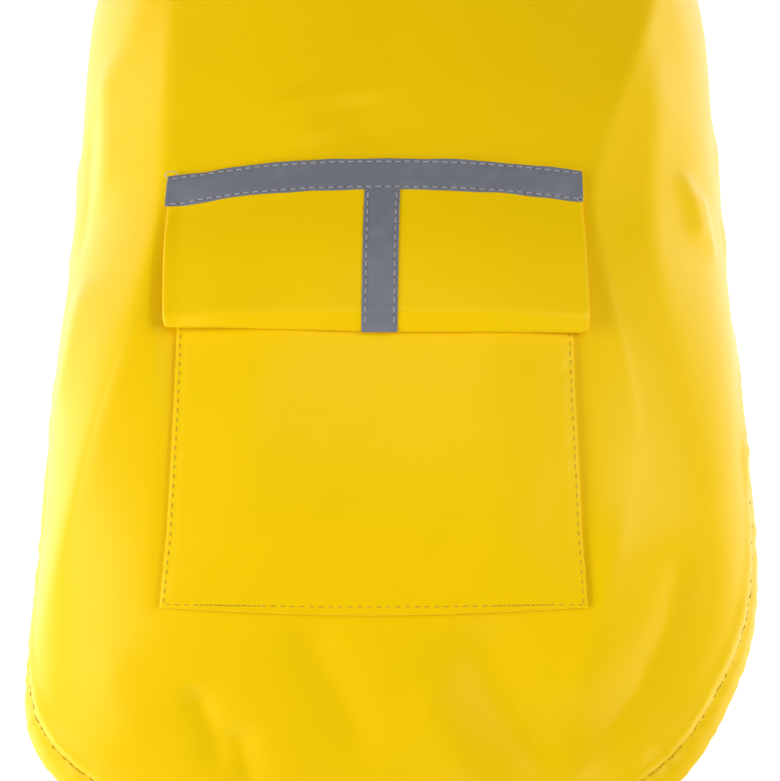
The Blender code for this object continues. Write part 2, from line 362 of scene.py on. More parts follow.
def creases(along, across):
    """How far the creases, swells and small unevenness lift the cloth."""
    lift = np.zeros(np.shape(along))
    for points, first, last, half_width, crest in CREASES:
        distance, travelled, length = path_distance(points, along, across)
        share = travelled / length
        fade = smooth_step(share / CREASE_ENDS[0]) * smooth_step((1 - share) / CREASE_ENDS[1])
        height = (first + (last - first) * share) * fade
        lift += height * np.exp(-(((np.hypot(distance, crest) - crest) / half_width) ** CREASE_FALL))
    for (a, c), reach_along, reach_across, height in SWELLS:
        lift += height * bell(along - a, reach_along) * bell(across - c, reach_across)
    held = smooth_step((along - FLAP_TOP) / HELD_FROM)
    held = held * smooth_step((POCKET_FOOT + HELD_BELOW - along) / HELD_EASE)
    lift *= 1 - held * smooth_step((FLAP_HALF[1] + HELD_BESIDE - np.abs(across)) / HELD_EASE)
    slow = np.sin(along / 17.0 + 0.9 * np.sin(across / 23.0)) * np.sin(across / 14.0 + 1.3)
    quick = np.sin(along / 5.1 + across / 9.0) * np.sin(across / 6.3)
    return lift + 0.16 * slow + 0.05 * quick


def place(along, across, lift=0.0):
    """Points on the coat in metres, moved out from its outer face by lift."""
    along, across = np.broadcast_arrays(np.asarray(along, float), np.asarray(across, float))
    height = creases(along, across) + lift
    return (form(along, across) + outward(along, across) * height[..., None]) * MM


# ---------------------------------------------------------------- edges and surfaces
def corner(inset=0.0):
    """The rounded corner of the tail: distances along and across, from the side edge to the tail edge."""
    turn = np.radians(np.linspace(0, 90, 65))
    widest = read("cut", CORNER_AT) - inset
    power = 2.0 / CORNER_SQUARE
    along = CORNER_AT + (LENGTH - inset - CORNER_AT) * np.sin(turn) ** power
    across = TAIL_HALF + (widest - TAIL_HALF) * np.abs(np.cos(turn)) ** power
    across[-1] = TAIL_HALF
    return along, across


def inset_path(path, distance):
    """A path moved sideways in the cloth."""
    travel = np.gradient(path, axis=0)
    travel /= np.linalg.norm(travel, axis=1)[:, None]
    return path + distance * np.stack((travel[:, 1], -travel[:, 0]), axis=1)


def free_edge():
    """The back panel's free edge, from the right seam's foot round the tail to the left one."""
    side = spread(SEAM_FOOT, CORNER_AT, 4.0)[:-1]
    corner_along, corner_across = corner()
    tail = spread(TAIL_HALF, 0.0, 4.0)[1:]
    along = np.concatenate((side, corner_along, LENGTH + TAIL_BOW * (1 - (tail / TAIL_HALF) ** 2)))
    across = np.concatenate((read("cut", side), corner_across, tail))
    right = np.stack((along, across), axis=1)
    return np.concatenate((right, right[-2::-1] * (1, -1)))


FREE_EDGE = free_edge()


def pocket_half(along):
    """Half the pocket's width."""
    stations, halves = zip(*POCKET_SIDES)
    return np.interp(along, stations, halves)


def panel_lift(along, across):
    """The back panel's face: its hems' stitched grooves, puckers and rolls."""
    far, travelled, _ = path_distance(FREE_EDGE, along, across)
    near = smooth_step((along - SEAM_FOOT) / 20.0)
    groove = -0.55 * bell(far - HEM, GROOVE)
    lip = 1.1 * bell(far - HEM - 4.2, 3.0) * (0.7 + 0.3 * wobble(travelled, 34.0, 4))
    band = 0.4 * np.sin(np.pi * np.clip(far / HEM, 0.0, 1.0))
    pucker = 0.5 * wobble(travelled, 9.0, 5) * bell(far - HEM + 3.5, 5.5)
    neck = -0.45 * bell(along - NECK_HEM, GROOVE) + 0.4 * bell(along - NECK_HEM - SWELL_PAST, 3.0)
    neck = neck + 0.16 * wobble(across, 9.0, 6) * bell(along - NECK_HEM, 5.0)
    beside = bell(np.abs(across) - pocket_half(along), 4.0)
    pressed = -0.4 * beside * smooth_step((along - 225) / 12) * smooth_step((374 - along) / 8)
    return near * (groove + lip + band + pucker) + neck + pressed


def seam_foot(across):
    """Where the stitches along the pocket's foot lie."""
    return POCKET_FOOT - SEAM_INSET + SEAM_BOW * (1 - (across / POCKET_SIDES[-1][1]) ** 2)


def bag_lift(along, across):
    """The pocket bag's face: flat at its stitches and a little full inside them."""
    side = pocket_half(along) - SEAM_INSET - np.abs(across)
    inside = np.minimum(side, seam_foot(across) - along)
    full = 1.5 * smooth_step(inside / 30.0)
    groove = -0.38 * bell(inside, 0.9)
    pucker = 0.10 * wobble(along + across, 8.0, 11) * bell(inside - 2.0, 4.0)
    soft = 0.25 * wobble(along * 0.5 + across, 60.0, 12) * smooth_step(inside / 20.0)
    return 1.25 + full + groove + pucker + soft


def flap_lift(along, across):
    """The flap's face: pressed down at its head and standing off the pocket at its foot."""
    rise = 1.7 * smooth_step((along - 222.0) / 32.0)
    share = np.clip((along - FLAP_TOP) / (FLAP_FOOT - FLAP_TOP), 0.0, 1.1)
    full = 0.5 * np.sin(np.pi * np.clip(share, 0.0, 1.0)) * (1 - (across / FLAP_HALF[1]) ** 2)
    sides = -1.0 * share * smooth_step((np.abs(across) - 52.0) / 18.0)
    soft = 0.3 * wobble(across, 46.0, 21) * share
    roll = -2.4 * smooth_step((share - 0.92) / 0.1)
    return 1.6 + rise + 3.8 * share + full + sides + soft + roll


def tape_lift(along, across):
    """The reflective tape's face, pressed down along its stitches."""
    groove = 0.0
    for edge in (TAPE_TOP + TAPE_SEAM, TAPE_TOP + TAPE_WIDTH - TAPE_SEAM):
        groove = groove - 0.22 * bell(along - head_bow(across) - edge, 0.7)
    return flap_lift(along, across) + TAPE + groove + 0.14 * wobble(across + 0.6 * along, 15.0, 31)


def down_tape_middle(along):
    """Where the middle of the tape down the flap lies."""
    return np.interp(along, (FLAP_TOP, FLAP_FOOT), DOWN_TAPE)


def head_bow(across):
    """How far the flap's head and its tape bow toward the neck."""
    return TAPE_BOW * (1 - (across / FLAP_HALF[0]) ** 2)


def down_tape_lift(along, across):
    """The face of the tape down the flap."""
    beside = np.abs(across - down_tape_middle(along))
    groove = -0.2 * bell(beside - TAPE_WIDTH / 2 + DOWN_SEAM, 0.7)
    return flap_lift(along, across) + TAPE + groove + 0.05 * wobble(along + 0.5 * across, 8.0, 32)


# ---------------------------------------------------------------- shader maths
class Wire:
    """A shader socket that takes part in Python sums."""

    def __init__(self, paint, socket):
        self.paint, self.socket = paint, socket

    def sum(self, operation, first, second):
        return self.paint.add("ShaderNodeMath", {"operation": operation}, {0: first, 1: second})

    def __add__(self, other):
        return self.sum("ADD", self, other)

    __radd__ = __add__

    def __sub__(self, other):
        return self.sum("SUBTRACT", self, other)

    def __rsub__(self, other):
        return self.sum("SUBTRACT", other, self)

    def __mul__(self, other):
        return self.sum("MULTIPLY", self, other)

    __rmul__ = __mul__


class Paint:
    """One material and its nodes."""

    def __init__(self, name, **constants):
        self.material = bpy.data.materials.new(name)
        self.material.use_nodes = True
        self.tree = self.material.node_tree
        self.shader = self.tree.nodes["Principled BSDF"]
        for socket, value in constants.items():
            self.shader.inputs[socket.replace("_", " ")].default_value = value

    def add(self, kind, settings=None, values=None, output=0):
        """Adds a node: its settings first, then the values or links of its sockets."""
        node = self.tree.nodes.new(kind)
        for key, value in (settings or {}).items():
            setattr(node, key, value)
        for key, value in (values or {}).items():
            if isinstance(value, Wire):
                self.tree.links.new(value.socket, node.inputs[key])
            else:
                node.inputs[key].default_value = value
        return Wire(self, node.outputs[output])

    def feed(self, socket, wire):
        self.tree.links.new(wire.socket, self.shader.inputs[socket])

    def cloth(self, along, across):
        """Cloth coordinates in millimetres, each scaled."""
        where = self.add("ShaderNodeUVMap", {"uv_map": "cloth"})
        scaled = {0: where, 1: (across, along, 1.0)}
        return self.add("ShaderNodeVectorMath", {"operation": "MULTIPLY"}, scaled)

    def noise(self, scale, detail=2.0, roughness=0.5, vector=None):
        """Noise on the object's own coordinates, or on vector."""
        where = vector or self.add("ShaderNodeTexCoord", output=3)
        values = {"Vector": where, "Scale": scale, "Detail": detail, "Roughness": roughness}
        return self.add("ShaderNodeTexNoise", None, values)

    def bands(self, direction, vector, scale, distortion):
        """A wave pattern."""
        settings = {"wave_type": "BANDS", "bands_direction": direction}
        values = {"Vector": vector, "Scale": scale, "Distortion": distortion}
        return self.add("ShaderNodeTexWave", settings, values)

    def limits(self, wire, low, high):
        """0 below low, 1 above high."""
        values = {"Value": wire, "From Min": low, "From Max": high}
        return self.add("ShaderNodeMapRange", {"clamp": True}, values)

    def mix(self, first, second, share):
        """Blends two colours."""
        values = {0: share, 6: first, 7: second}
        return self.add("ShaderNodeMix", {"data_type": "RGBA"}, values, output=2)

    def bump(self, height, strength, distance):
        values = {"Height": height, "Strength": strength, "Distance": distance}
        self.feed("Normal", self.add("ShaderNodeBump", None, values))


def coated_face():
    """The coat's face: a satin coating with a faint grain along the cloth."""
    paint = Paint("coated_cloth", Specular_IOR_Level=0.36, IOR=1.46, Specular_Tint=(1.0, 0.84, 0.36, 1.0))
    grain = paint.noise(1.0, 3.0, 0.6, paint.cloth(0.05, 1.6))
    cross = paint.noise(1.0, 2.0, 0.5, paint.cloth(2.2, 2.2))
    slow = paint.noise(9.0, 3.0)
    tone = paint.mix((0.92, 0.585, 0.0005, 1.0), (0.95, 0.62, 0.001, 1.0), slow)
    paint.feed("Base Color", paint.mix(tone, (0.86, 0.54, 0.001, 1.0), grain * 0.16))
    paint.feed("Roughness", 0.28 + (slow * 0.08 + grain * 0.05))
    paint.bump(grain * 0.7 + cross * 0.5, 0.10, 0.0004)
    return paint.material


def knit_back():
    """The uncoated side of the cloth: a fine matt knit."""
    paint = Paint("knit_backing", Specular_IOR_Level=0.2, Sheen_Weight=0.25, Sheen_Roughness=0.6)
    wales = paint.bands("X", paint.cloth(0.0, 1.0), 0.35, 0.6)
    rows = paint.bands("Y", paint.cloth(1.0, 0.0), 0.35, 0.6)
    loops = wales * rows
    paint.feed("Base Color", paint.mix((0.72, 0.50, 0.05, 1.0), (0.86, 0.64, 0.10, 1.0), loops))
    paint.feed("Roughness", 0.82 + loops * 0.1)
    paint.bump(loops, 0.5, 0.0002)
    return paint.material


def reflective_face():
    """Grey reflective tape: fine glass beads that speckle, and faint scuffs."""
    paint = Paint("reflective_tape", Metallic=0.15)
    beads = paint.noise(2600.0, 1.0)
    scuffs = paint.limits(paint.noise(120.0, 4.0, 0.65), 0.5, 0.8)
    tone = paint.mix((0.150, 0.158, 0.190, 1.0), (0.225, 0.235, 0.280, 1.0), beads)
    paint.feed("Base Color", paint.mix(tone, (0.27, 0.28, 0.32, 1.0), scuffs * 0.5))
    paint.feed("Roughness", 0.42 + beads * 0.2)
    paint.bump(beads + scuffs * 0.6, 0.25, 0.0002)
    return paint.material


def webbing_face():
    """Woven strap in the coat's yellow."""
    paint = Paint("webbing", Specular_IOR_Level=0.3, Sheen_Weight=0.15)
    ribs = paint.bands("X", paint.cloth(0.0, 1.0), 0.32, 0.3)
    picks = paint.bands("Y", paint.cloth(1.0, 0.0), 0.22, 0.3)
    weave = ribs * 0.6 + picks * 0.4
    paint.feed("Base Color", paint.mix((0.50, 0.33, 0.006, 1.0), (0.76, 0.51, 0.012, 1.0), weave))
    paint.feed("Roughness", 0.7 + weave * 0.15)
    paint.bump(weave, 0.6, 0.0003)
    return paint.material


def nap_face(name, dark, light, scale):
    """Hook or loop fastener."""
    paint = Paint(name, Specular_IOR_Level=0.25, Sheen_Weight=0.3)
    nap = paint.noise(scale, 3.0, 0.7)
    paint.feed("Base Color", paint.mix(dark, light, nap))
    paint.feed("Roughness", 0.8 + nap * 0.15)
    paint.bump(nap, 0.9, 0.0008)
    return paint.material


def thread_face(name, dark, light):
    """Sewing thread with its twist, or the shade of a needle hole."""
    paint = Paint(name, Specular_IOR_Level=0.3)
    twist = paint.noise(900.0, 2.0)
    paint.feed("Base Color", paint.mix(dark, light, twist))
    paint.feed("Roughness", 0.5 + twist * 0.25)
    paint.bump(twist, 0.4, 0.0001)
    return paint.material


COAT = coated_face()
KNIT = knit_back()
REFLECTIVE = reflective_face()
STRAP = webbing_face()
LOOPS = nap_face("loop_nap", (0.50, 0.32, 0.01, 1.0), (0.80, 0.55, 0.05, 1.0), 900.0)
HOOKS = nap_face("hook_nap", (0.42, 0.27, 0.01, 1.0), (0.72, 0.48, 0.03, 1.0), 1500.0)
YELLOW_THREAD = thread_face("yellow_thread", (0.48, 0.30, 0.02, 1.0), (0.70, 0.45, 0.03, 1.0))
PALE_THREAD = thread_face("pale_thread", (0.34, 0.34, 0.36, 1.0), (0.55, 0.55, 0.57, 1.0))
# Painted shade: a dark brown that stands for the shade inside the needle holes.
HOLE_SHADE = thread_face("needle_hole_shade", (0.14, 0.075, 0.006, 1.0), (0.22, 0.12, 0.01, 1.0))


# ---------------------------------------------------------------- making meshes
def new_piece(name, points, faces, surfaces, kinds=None, uv=None):
    """A smooth mesh that rides on the coat."""
    mesh = bpy.data.meshes.new(name)
    mesh.from_pydata(points.tolist(), [], faces)
    for surface in surfaces:
        mesh.materials.append(surface)
    mesh.polygons.foreach_set("use_smooth", np.ones(len(faces), dtype=bool))
    if kinds is not None:
        mesh.polygons.foreach_set("material_index", np.asarray(kinds, dtype=np.int32))
    if uv is not None:
        layer = mesh.uv_layers.new(name="cloth")
        corners = np.empty(len(mesh.loops), dtype=np.int32)
        mesh.loops.foreach_get("vertex_index", corners)
        layer.data.foreach_set("uv", uv[corners].astype(np.float32).ravel())
    mesh.update()
    piece = bpy.data.objects.new(name, mesh)
    bpy.context.scene.collection.objects.link(piece)
    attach(piece, "root")
    return piece


def rounded_rim(thickness, steps=4):
    """A half-round edge: how far each step stands out, and how far it drops from the face."""
    turn = np.linspace(0.0, np.pi, steps + 2)[1:-1]
    return [(np.sin(t) * thickness / 2, (1 - np.cos(t)) * thickness / 2) for t in turn]


# An edge turned under: how far each step stands out, and how far it drops.
ROLLED_RIM = (
    (0.75, 0.06), (1.2, 0.26), (1.5, 0.65), (1.6, 1.2), (1.45, 1.75), (0.95, 1.85), (0.7, 1.4), (0.45, 1.05),
)


def shell(name, along, across, lift, thickness, face, back=None, rim=None):
    """A closed piece of cloth on a grid of cloth coordinates, with a rounded or rolled rim.

    lift is the height of its face at each point, as numbers or as a function of along and across.
    """
    top = lift(along, across) if callable(lift) else np.broadcast_to(lift, along.shape)
    index = np.arange(along.size).reshape(along.shape)
    quads = np.stack((index[:-1, :-1], index[1:, :-1], index[1:, 1:], index[:-1, 1:]), axis=-1).reshape(-1, 4)
    border = np.concatenate((index[:, 0], index[-1, 1:], index[-2::-1, -1], index[0, -2:0:-1]))
    a, c, h = along.ravel()[border], across.ravel()[border], top.ravel()[border]
    run_a, run_c = np.roll(a, -1) - np.roll(a, 1), np.roll(c, -1) - np.roll(c, 1)
    length = np.maximum(np.hypot(run_a, run_c), 1e-9)
    out_a, out_c = run_c / length, -run_a / length
    points = [place(along, across, top).reshape(-1, 3), place(along, across, top - thickness).reshape(-1, 3)]
    uv = [np.stack((across.ravel(), along.ravel()), axis=1)] * 2
    faces = [quads, quads[:, ::-1] + index.size]
    kinds = [np.zeros(len(quads), dtype=int), np.full(len(quads), 1 if back else 0)]
    before, count = border, 2 * index.size
    for out, drop in rim or rounded_rim(thickness):
        ring = np.arange(len(border)) + count
        points.append(place(a + out * out_a, c + out * out_c, h - drop))
        uv.append(np.stack((c + (out + drop) * out_c, a + (out + drop) * out_a), axis=1))
        faces.append(np.stack((np.roll(before, -1), before, ring, np.roll(ring, -1)), axis=1))
        before, count = ring, count + len(border)
    after = border + index.size
    faces.append(np.stack((np.roll(before, -1), before, after, np.roll(after, -1)), axis=1))
    kinds += [np.zeros(len(strip), dtype=int) for strip in faces[2:]]
    points, uv, kinds = np.concatenate(points), np.concatenate(uv), np.concatenate(kinds)
    surfaces = [face, back] if back else [face]
    return new_piece(name, points, np.concatenate(faces).tolist(), surfaces, kinds, uv)


def patch(ends, halves, step, middle=0.0, inset=0.0):
    """A grid of cloth coordinates for a straight-sided piece, less an inset for its rim."""
    rows = spread(ends[0] + inset, ends[1] - inset, step)
    half = np.interp(rows, ends, halves) - inset
    share = spread(-1.0, 1.0, step / max(halves))
    along = np.repeat(rows[:, None], len(share), axis=1)
    return along, middle + half[:, None] * share


def sewing_places(points):
    """Evenly spaced places on a path of cloth coordinates, and the direction of travel at each."""
    points = np.asarray(points, float)
    lengths = np.concatenate(([0.0], np.cumsum(np.linalg.norm(np.diff(points, axis=0), axis=1))))
    at = np.arange(PITCH / 2, lengths[-1], PITCH)
    where, ahead, behind = (
        np.stack([np.interp(at + shift, lengths, points[:, k]) for k in (0, 1)], axis=1)
        for shift in (0.0, 0.2, -0.2)
    )
    travel = ahead - behind
    return where, travel / np.linalg.norm(travel, axis=1, keepdims=True)


def tube_faces(count, rings, sides):
    """Faces of closed tubes, each of so many rings with so many sides."""
    index = np.arange(count * rings * sides).reshape(count, rings, sides)
    following = np.roll(index, -1, axis=2)
    walls = np.stack((index[:, :-1], following[:, :-1], following[:, 1:], index[:, 1:]), axis=-1)
    return walls.reshape(-1, 4).tolist() + index[:, 0, ::-1].tolist() + index[:, -1].tolist()


def stitches(name, paths, lift, thread, seed=3, sides=6):
    """Rows of stitches, joined in one mesh: each is a short thread that dips into the cloth at both ends."""
    draw = np.random.default_rng(seed)
    spots = [sewing_places(path) for path in paths]
    where = np.concatenate([spot[0] for spot in spots])
    travel = np.concatenate([spot[1] for spot in spots])
    swing = draw.normal(0.0, 0.07, len(where))
    size = draw.uniform(0.92, 1.08, len(where))[:, None]
    da = (travel[:, 0] - swing * travel[:, 1])[:, None]
    dc = (travel[:, 1] + swing * travel[:, 0])[:, None]
    share = np.linspace(-1.0, 1.0, 7)[None, :]
    a = where[:, :1] + share * size * da * STITCH / 2
    c = where[:, 1:] + share * size * dc * STITCH / 2
    height = lift(a, c) + 0.34 * np.sqrt(1 - share**2) - 0.12
    thick = (THREAD * np.sqrt(1 - 0.7 * share**4))[..., None]
    turn = np.arange(sides) * 2 * np.pi / sides
    ring_a = a[..., None] - dc[..., None] * thick * np.cos(turn)
    ring_c = c[..., None] + da[..., None] * thick * np.cos(turn)
    ring_h = height[..., None] + thick * np.sin(turn)
    points = place(ring_a, ring_c, ring_h).reshape(-1, 3)
    return new_piece(name, points, tube_faces(len(where), share.size, sides), [thread])


def needle_holes(name, paths, lift):
    """The needle holes between stitches: small ovals in a dark painted shade, set into the cloth."""
    spots = [sewing_places(path) for path in paths]
    where = np.concatenate([spot[0] + spot[1] * PITCH / 2 for spot in spots])
    travel = np.concatenate([spot[1] for spot in spots])
    turn = np.arange(8) * 2 * np.pi / 8
    height = lift(where[:, 0], where[:, 1])[:, None]
    a, c, h = [], [], []
    for size, rise in ((0.25, 0.10), (1.0, 0.06), (1.0, -0.2)):
        long_way = NEEDLE_HOLE[0] * size * np.cos(turn)
        short_way = NEEDLE_HOLE[1] * size * np.sin(turn)
        a.append(where[:, :1] + travel[:, :1] * long_way - travel[:, 1:] * short_way)
        c.append(where[:, 1:] + travel[:, 1:] * long_way + travel[:, :1] * short_way)
        h.append(np.broadcast_to(height + rise, a[-1].shape))
    points = place(np.stack(a, 1), np.stack(c, 1), np.stack(h, 1)).reshape(-1, 3)
    return new_piece(name, points, tube_faces(len(where), 3, 8), [HOLE_SHADE])


def sewn(name, paths, lift, thread, seed=3):
    """Stitches and their needle holes."""
    needle_holes(name + "_needle_holes", paths, lift)
    return stitches(name + "_stitches", paths, lift, thread, seed)


def loose_thread(name, points, thread, sides=6):
    """A loose thread through points, each of along, across and height."""
    knots = np.linspace(0.0, 1.0, len(points))
    share = np.linspace(0.0, 1.0, 30)
    degree = min(4, len(points) - 1)
    curve = [np.polyval(np.polyfit(knots, values, degree), share) for values in zip(*points)]
    centre = place(*curve)
    run = np.gradient(centre, axis=0)
    run /= np.linalg.norm(run, axis=1, keepdims=True)
    side = np.cross(run, (0.1, 0.2, 1.0))
    side /= np.linalg.norm(side, axis=1, keepdims=True)
    up = np.cross(side, run)
    turn = (np.arange(sides) * 2 * np.pi / sides)[:, None]
    ring = centre[:, None] + LOOSE_THREAD * MM * (side[:, None] * np.cos(turn) + up[:, None] * np.sin(turn))
    return new_piece(name, ring.reshape(-1, 3), tube_faces(1, len(share), sides), [thread])


# ---------------------------------------------------------------- the coat
def stand_for(piece, node):
    """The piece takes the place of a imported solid."""
    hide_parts(node)
    return piece


def panel_area():
    """The back panel's flat area, in square metres."""
    corner_along, corner_across = corner()
    straight = spread(0.0, CORNER_AT, 5.0)
    along = np.concatenate((straight, corner_along[1:]))
    half = np.concatenate((read("cut", straight), corner_across[1:]))
    return float(np.sum((half[1:] + half[:-1]) * np.diff(along))) * MM * MM


def back_panel():
    """The back and both sides in one cut, its free edge rolled under."""
    straight = np.concatenate((spread(EDGE_ROLL, 110.0, 3.0), spread(110.0, CORNER_AT, 1.8)[1:-1]))
    corner_along, corner_across = corner(EDGE_ROLL)
    rows = np.concatenate((straight, corner_along))
    half = np.concatenate((read("cut", straight) - EDGE_ROLL, corner_across))
    fine = (spread(0.0, 0.35, 0.0175), spread(0.35, 0.9, 0.0098)[1:], spread(0.9, 1.0, 0.015)[1:])
    share = np.concatenate(fine)
    share = np.concatenate((-share[:0:-1], share))
    tail = np.clip((rows - CORNER_AT) / (LENGTH - CORNER_AT), 0.0, 1.0) ** 2
    along = rows[:, None] + TAIL_BOW * tail[:, None] * (1 - share**2)
    across = half[:, None] * share
    piece = shell("back_panel_cloth", along, across, panel_lift, CLOTH, COAT, KNIT, ROLLED_RIM)
    stand_for(piece, "back_panel")
    panel_area()
    seam = inset_path(FREE_EDGE, HEM)
    sewn("hem", [seam], panel_lift, YELLOW_THREAD, 5)
    share = spread(-1.0, 1.0, 0.02)
    neck = np.stack((np.full(len(share), NECK_HEM), share * (read("cut", NECK_HEM) - 2)), axis=1)
    down = spread(2.0, SEAM_FOOT - 2, 3.0)
    sides = [np.stack((down, side * (read("cut", down) - 3)), axis=1) for side in (-1, 1)]
    sewn("neck_hem", [neck], panel_lift, YELLOW_THREAD, 6)
    sewn("side_seams", sides, panel_lift, YELLOW_THREAD, 7)


def turned_edge(name, rows, drop, node, seed):
    """A turned-in edge lying inside the coat, from rows of cloth coordinates that run side by side."""
    along = np.stack([row[:, 0] for row in rows], axis=1)
    across = np.stack([row[:, 1] for row in rows], axis=1)
    depth = np.linspace(0.0, 1.0, len(rows))
    run = np.cumsum(np.hypot(*np.gradient(rows[0], axis=0).T))[:, None]
    lift = -drop - 0.12 * wobble(run, 11.0, seed) * depth + 0.3 * np.exp(-depth / 0.07)
    piece = shell(name, along[:, ::-1], across[:, ::-1], lift[:, ::-1], 0.8, COAT, KNIT)
    return stand_for(piece, node)


def chest_foot(share):
    """How far down the chest panel reaches: share runs from -1 at one seam to 1 at the other."""
    return SEAM_FOOT + CHEST_DIP * (1 - share * share)


def chest_across(along, share):
    """A place on the chest panel, which runs from the right seam under the neck to the left seam."""
    middle = half_round(along)
    return middle + share * (middle - read("cut", along) - EDGE_ROLL)


def chest_row(along, share):
    """A row of cloth coordinates round the chest panel."""
    return np.stack((along, chest_across(along, share)), axis=1)


def chest_lift(along, across):
    """The chest panel's face, with its two stitched hems."""
    middle = half_round(along)
    share = np.clip((across - middle) / (middle - read("cut", along)), -1.0, 1.0)
    foot = chest_foot(share) - along
    lift = -0.45 * (bell(along - NECK_HEM, GROOVE) + bell(foot - HEM, GROOVE))
    lift = lift + 0.4 * (bell(along - NECK_HEM - SWELL_PAST, 3.0) + bell(foot - HEM - SWELL_PAST, 3.0))
    pucker = bell(along - NECK_HEM, 5.0) + bell(foot - HEM, 5.0)
    return lift + 0.2 * wobble(across, 10.0, 41) * pucker + 0.5 * wobble(across + along, 70.0, 42)


def chest_panel():
    """The chest panel and its hems."""
    share = spread(-1.0, 1.0, 0.014)
    height = spread(0.0, 1.0, 0.04)[:, None]
    along = EDGE_ROLL + height * (chest_foot(share) - 2 * EDGE_ROLL)
    across = chest_across(along, share)
    piece = shell("chest_panel_cloth", along, across, chest_lift, CLOTH, COAT, KNIT, ROLLED_RIM)
    stand_for(piece, "chest_panel")
    share = spread(-0.985, 0.985, 0.016)
    top, bottom = np.zeros(len(share)), chest_foot(share)
    for name, node, edge, start, end, seed in (
        ("chest_neck_turning", "chest_neck_hem", top, 0.5, NECK_HEM + 1.0, 51),
        ("chest_foot_turning", "chest_foot_hem", bottom, -0.5, -HEM - 1.0, 52),
    ):
        rows = [chest_row(edge + offset, share) for offset in np.linspace(start, end, 7)]
        rows = rows if end > 0 else [row[::-1] for row in rows]
        turned_edge(name, rows, CLOTH + TURN_GAP, node, seed)
    hems_at = [chest_row(top + NECK_HEM, share), chest_row(bottom - HEM, share)]
    sewn("chest_hems", hems_at, chest_lift, YELLOW_THREAD, 8)


def hems():
    """The back panel's turned-in edges."""
    edge = FREE_EDGE[1:-1]
    rows = [inset_path(edge, distance) for distance in np.linspace(0.5, HEM + 1.0, 8)]
    turned_edge("rear_turning", rows, CLOTH + TURN_GAP, "rear_hem", 53)
    share = spread(-0.985, 0.985, 0.02)
    rows = []
    for station in np.linspace(0.5, NECK_HEM + 1.0, 7):
        station = np.full(len(share), station)
        rows.append(np.stack((station, read("cut", station) * share), axis=1))
    turned_edge("back_neck_turning", rows, CLOTH + TURN_GAP, "back_neck_hem", 54)


def pocket():
    """The pocket bag, bowed at its foot, and the flap folded over along its foot."""
    rows = spread(POCKET_TOP, POCKET_FOOT - 0.5, 1.6)[:, None]
    share = spread(-1.0, 1.0, 0.022)
    down = (rows - POCKET_TOP) / (POCKET_FOOT - POCKET_TOP)
    along = rows + (SEAM_BOW + POCKET_BOW) * down**6 * (1 - share**2)
    across = share * (pocket_half(along) - 0.4)
    bag = shell("pocket_bag_cloth", along, across, bag_lift, CLOTH, COAT, KNIT)
    stand_for(bag, "pocket_bag")
    stations = spread(POCKET_TOP + 30, POCKET_FOOT - SEAM_INSET, 4.0)
    reach = pocket_half(stations) - SEAM_INSET
    foot = spread(-reach[-1], reach[-1], 4.0)
    paths = [np.stack((stations, side * reach), axis=1) for side in (-1, 1)]
    paths.append(np.stack((seam_foot(foot), foot), axis=1))
    sewn("pocket", paths, bag_lift, YELLOW_THREAD, 9)

    along, across = patch((FLAP_TOP, FLAP_FOOT), FLAP_HALF, 1.4, inset=FLAP_CLOTH / 2)
    down = (along - FLAP_TOP) / (FLAP_FOOT - FLAP_TOP)
    bow = head_bow(across) * (1 - down) + FLAP_BOW * down * (1 - (across / FLAP_HALF[1]) ** 2)
    bow = bow + FLAP_TILT * down * across / FLAP_HALF[1]
    across = across + np.interp(down, (0.0, 1.0), FLAP_MIDDLE)
    flap = shell("pocket_flap_cloth", along + bow, across, flap_lift, FLAP_CLOTH, COAT)
    stand_for(flap, "pocket_flap")


def tapes():
    """The reflective tape along the flap's head, and the one down its middle."""
    ends = (TAPE_TOP, TAPE_TOP + TAPE_WIDTH)
    along, across = patch(ends, (FLAP_HALF[0], FLAP_HALF[0]), 0.9, FLAP_MIDDLE[0], 0.2)
    edge = (along - TAPE_TOP) / TAPE_WIDTH
    wavy = 0.2 * (wobble(across, 30.0, 33) * (1 - edge) + wobble(across, 26.0, 34) * edge)
    head = shell("tape_across_flap", along + head_bow(across) + wavy, across, tape_lift, TAPE, REFLECTIVE)
    stand_for(head, "tape_across")
    run = FLAP_MIDDLE[0] + spread(-FLAP_HALF[0] + 1, FLAP_HALF[0] - 1, 3.0)
    seams = (TAPE_SEAM, TAPE_WIDTH - TAPE_SEAM)
    lines = [np.stack((TAPE_TOP + seam + head_bow(run), run), axis=1) for seam in seams]
    sewn("tape_across", lines, tape_lift, PALE_THREAD, 10)

    half = TAPE_WIDTH / 2
    head_end, foot_end = ends[1] + TAPE_BOW, FLAP_FOOT + FLAP_BOW
    along, across = patch((head_end - 0.3, foot_end + 0.3), (half, half), 0.9, inset=0.2)
    down = shell("tape_down_flap", along, across + down_tape_middle(along), down_tape_lift, TAPE, REFLECTIVE)
    stand_for(down, "tape_down")
    run = spread(head_end + 0.6, foot_end - 0.8, 5.0)
    reach = half - DOWN_SEAM
    lines = [np.stack((run, down_tape_middle(run) + side * reach), axis=1) for side in (-1, 1)]
    sewn("tape_down", lines, down_tape_lift, PALE_THREAD, 12)


def thread_ends():
    """The loose thread at the tape's left end, and the knot at its right end."""
    # Each knot's place along, its place across from the tape's end, and its height
    left = ((220.0, 1.0, 2.4), (217.6, 0.0, 3.2), (216.6, 2.0, 2.4), (217.8, 3.2, 2.0))
    right = (
        (229.2, -1.6, 2.9), (229.8, -0.4, 3.6), (230.6, -1.0, 3.4), (230.0, -1.9, 3.2), (229.3, -0.9, 3.4),
    )
    for name, side, knots in (("thread_end_left", -1, left), ("thread_end_right", 1, right)):
        tape_end = FLAP_MIDDLE[0] + side * FLAP_HALF[0]
        points = [(along, tape_end + past, height) for along, past, height in knots]
        loose_thread(name, points, PALE_THREAD)


